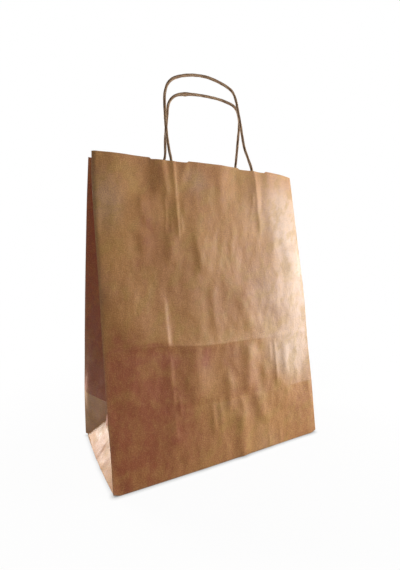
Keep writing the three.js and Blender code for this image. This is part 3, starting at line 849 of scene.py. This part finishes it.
def cordPoints(look):
    shape, side = look["panel"], look["panel"]["side"]
    inside = patchShape["cordDepth"]

    def plainY(x, z):  # where a leg lies on a smooth panel
        bow = look["belly"] * (1 - (x / halfWidth) ** 4) * (z / topZ) ** 1.5
        return side * (edgeDepth(z) + bow - inside)

    def settled(x, z):  # and on the panel with its creases
        return float(panelPoint(shape, x, z, inside)[1])

    legs = []
    for x in patchShape["legs"]:
        drops = [patchShape["legLength"] * share for share in cordShape["legPlaces"]]
        legs.append([(x, settled(x, topZ - drop), topZ - drop) for drop in drops])
    lean = math.radians(look["lean"])
    loop = []
    for whichLeg, across, up in look["loop"]:
        x = patchShape["legs"][whichLeg > 0]
        shift = (settled(x, topZ) - plainY(x, topZ)) * max(0, 1 - up / cordShape["settle"])
        y = plainY(x, topZ) + shift - side * up * math.sin(lean)
        loop.append((x + across, y, topZ + up * math.cos(lean)))
    return np.array(legs[0] + loop + legs[1][::-1], float)


def evenRoute(points, step):  # a smooth curve through the points, in even steps
    padded = np.vstack([2 * points[0] - points[1], points, 2 * points[-1] - points[-2]])
    route = [points[0]]
    u = np.linspace(0, 1, cordShape["curveSteps"])[1:, None]
    for a, b, c, d in zip(padded, padded[1:], padded[2:], padded[3:]):
        ab, bc, cd = (np.linalg.norm(q - p) ** 0.5 for p, q in ((a, b), (b, c), (c, d)))
        leave = ((b - a) / ab - (c - a) / (ab + bc) + (c - b) / bc) * bc
        arrive = ((c - b) / bc - (d - b) / (bc + cd) + (d - c) / cd) * bc
        route.extend((2 * u ** 3 - 3 * u ** 2 + 1) * b + (u ** 3 - 2 * u ** 2 + u) * leave
                     + (3 * u ** 2 - 2 * u ** 3) * c + (u ** 3 - u ** 2) * arrive)
    route = np.array(route)
    length = np.concatenate([[0], np.cumsum(np.linalg.norm(np.diff(route, axis=0), axis=1))])
    at = np.linspace(0, length[-1], round(length[-1] / step))
    return np.stack([np.interp(at, length, route[:, k]) for k in range(3)], -1), at


def wobble(waves, at, turn):
    return sum(height * np.sin(at / length + phase + share * turn) for height, length, phase, share in waves)


def addHandle(look):
    cord = cordShape
    route, at = evenRoute(cordPoints(look), cord["step"])
    print(look["name"], "cord is", round(float(at[-1]), 4), "m long")
    ahead = np.gradient(route, axis=0)
    ahead /= np.linalg.norm(ahead, axis=1, keepdims=True)
    across = np.zeros_like(route)
    across[0] = np.cross(ahead[0], (0, 1, 0))
    for k in range(1, len(route)):  # carried along without twisting
        across[k] = across[k - 1] - ahead[k] * np.dot(across[k - 1], ahead[k])
        across[k] /= np.linalg.norm(across[k])
    other = np.cross(ahead, across)
    angle = np.linspace(0, 2 * math.pi, cord["sides"], endpoint=False)[None, :]
    twist = 2 * math.pi * at / cord["pitch"] + look["turn"] + wobble(cord["unevenTwist"], at, look["turn"])
    lay = angle - twist[:, None]
    groove = np.exp(-(np.sin(lay * cord["strands"] / 2) / cord["grooveWidth"]) ** 2)
    swing, fade = (np.sin(at / cord[k])[:, None] for k in ("wrinkleSwing", "wrinkleFade"))
    fine = np.cos(cord["wrinkles"] * lay + 1.3 + swing) * (0.6 + 0.4 * fade)
    uneven = wobble(cord["unevenWidth"], at, look["turn"])[:, None]
    radius = cord["radius"] * (1 + uneven - cord["groove"] * groove + cord["wrinkle"] * fine)
    if look["splay"]:
        middle, half, thicker = look["splay"]
        bulge = np.exp(-((route[:, 0] - middle) / half) ** 2) * (route[:, 2] > topZ + cord["splayAbove"])
        radius *= 1 + (thicker - 1) * bulge[:, None]
    toTip = np.minimum(at, at[-1] - at)
    radius *= np.sqrt(np.clip(toTip / cord["tip"], 0.25, 1))[:, None]
    points = (route[:, None] + radius[..., None] * (np.cos(angle)[..., None] * across[:, None]
                                                    + np.sin(angle)[..., None] * other[:, None]))
    rows, sides = points.shape[:2]
    faces = gridFaces(rows, sides, closed=True, flipped=True)
    faces.append(list(range(sides)))
    faces.append([(rows - 1) * sides + k for k in range(sides)][::-1])
    flat = np.stack([np.cos(lay) * cord["radius"], np.sin(lay) * cord["radius"], at[:, None] + 0 * lay], -1)
    # The groove fact marks where painted shade darkens the cord between its strands
    addPiece(look["name"], points, faces, cordPaper, look["node"],
             {"flat": flat, "groove": np.clip(groove - 0.3 * fine * (1 - groove), 0, 1)}, sharpAngle=60)


cordLook = {
    "paper": shown(146, 113, 82),
    "pale": shown(184, 156, 124),
    "dark": shown(92, 64, 46),
    # deep is painted shade in the grooves
    "deep": shown(66, 42, 30),
    "roughness": 0.62, "fibreRoughness": 0.12, "shine": 0.35,
    # Blotch sizes round the cord and along it, in metres
    "patch": (0.004, 0.004, 0.012), "fibre": (0.00022, 0.00022, 0.004), "speck": (0.0006, 0.0006, 0.0009),
    "streak": (0.0011, 0.0011, 0.022), "patchHeight": 0.0002, "fibreHeight": 0.00006,
}


def cordFinish(name, look):
    cord = Finish(bpy.data.materials.new(name))
    flat = cord.fact("flat", 1)
    patch = cord.noise(flat, look["patch"], 3, 0.6)
    fibre = cord.noise(flat, look["fibre"], 2)
    speck = cord.noise(flat, look["speck"], 2)
    streak = cord.noise(flat, look["streak"], 2)
    colour = cord.coats(look["paper"], [
        (patch.band(0.35, 0.7) * 0.55, look["pale"]),
        ((1 - patch).band(0.5, 0.75) * 0.5, look["dark"]),
        (fibre.band(0.5, 0.75) * 0.4, look["pale"]),
        (speck.band(0.58, 0.75) * 0.1, look["dark"]),
        (streak.band(0.5, 0.62) * 0.55, look["dark"]),
        # Painted shade: the grooves darken to deep brown
        (cord.fact("groove").band(0.25, 0.95) * 0.75, look["deep"]),
    ])
    roughness = look["roughness"] + look["fibreRoughness"] * fibre
    bumps = [(patch, look["patchHeight"]), (fibre + 0.2 * speck, look["fibreHeight"])]
    cord.paint(colour, roughness, bumps, {"Specular IOR Level": look["shine"]})
    return cord.owner


cordPaper = cordFinish("twisted_cord", cordLook)
addHandle(frontHandle)
addHandle(backHandle)

# Floor, lamps and surroundings

floorLook = {
    "size": 4.0, "paper": (0.5, 0.49, 0.48, 1), "near": (0.85, 0.84, 0.83, 1), "shade": (0.06, 0.05, 0.04, 1),
    "contact": 0.005, "contactSamples": 16,
    "shadowShare": 0.04, "shadowFrom": 0.12, "shadowTo": 0.55,
}
roomLook = {"colour": (1, 0.88, 0.78, 1), "strength": 0.05}
lampShape = {  # where each lamp stands, what it points at, how wide it is, watts and colour
    "near_right": ((0.50, -0.42, 0.32), (0.02, 0, 0.17), 0.45, 2.85, (0.99, 0.99, 0.99)),
    "low_right": ((0.60, -0.20, 0.14), (0.04, 0, 0.12), 0.35, 3.2, (0.97, 0.99, 1)),
    "front": ((0.25, -1.10, 1.00), (0, 0, 0.15), 0.90, 1.65, (1, 0.98, 0.94)),
    "back_left": ((-0.61, 0.85, 0.28), (-0.10, 0, 0.05), 0.50, 17.0, (1, 1, 1)),
}


def addFloor(look):
    half = look["size"] / 2
    mesh = bpy.data.meshes.new("floor")
    corners = [(-half, -half, 0), (half, -half, 0), (half, half, 0), (-half, half, 0)]
    mesh.from_pydata(corners, [], [(0, 1, 2, 3)])
    floor = bpy.data.objects.new("floor", mesh)
    scene.collection.objects.link(floor)
    paper = Finish(bpy.data.materials.new("floor_paper"))
    place = paper.node("ShaderNodeNewGeometry", {}, {}, 0)
    away = paper.node("ShaderNodeVectorMath", {"operation": "LENGTH"}, {0: place}, 1)
    # For the camera the floor glows white, darkening by ambient occlusion to a painted contact shadow right
    # next to the bag
    contact = paper.node("ShaderNodeAmbientOcclusion", {"samples": look["contactSamples"]},
                         {"Distance": look["contact"]}, 1)
    white = paper.node("ShaderNodeEmission", {}, {"Color": (1, 1, 1, 1)})
    shade = paper.node("ShaderNodeEmission", {}, {"Color": look["shade"]})
    near = paper.node("ShaderNodeBsdfDiffuse", {}, {"Color": look["near"]})
    plain = paper.node("ShaderNodeBsdfDiffuse", {}, {"Color": look["paper"]})
    shadow = (1 - away.band(look["shadowFrom"], look["shadowTo"])) * look["shadowShare"]
    seen = paper.layer(shadow, paper.layer(contact, shade, white), near)
    paper.output(paper.layer(paper.seenPlainly(), plain, seen))
    mesh.materials.append(paper.owner)


def addLamp(name, place, target, size, watts, colour):
    data = bpy.data.lights.new(name, "AREA")
    data.shape = "DISK"
    data.size = size
    data.energy = watts
    data.color = colour
    lamp = bpy.data.objects.new(name, data)
    lamp.location = place
    lamp.rotation_euler = (Vector(target) - Vector(place)).to_track_quat("-Z", "Y").to_euler()
    scene.collection.objects.link(lamp)


addFloor(floorLook)
for name, settings in lampShape.items():
    addLamp(name, *settings)
world = Finish(bpy.data.worlds.new("studio"))
room = world.node("ShaderNodeBackground", {}, {"Color": roomLook["colour"], "Strength": roomLook["strength"]})
blank = world.node("ShaderNodeBackground", {}, {"Color": (1, 1, 1, 1), "Strength": 1.0})
world.output(world.layer(world.seenPlainly(), room, blank))
scene.world = world.owner
scene.view_settings.view_transform = "Standard"
print("floor and lamps placed")
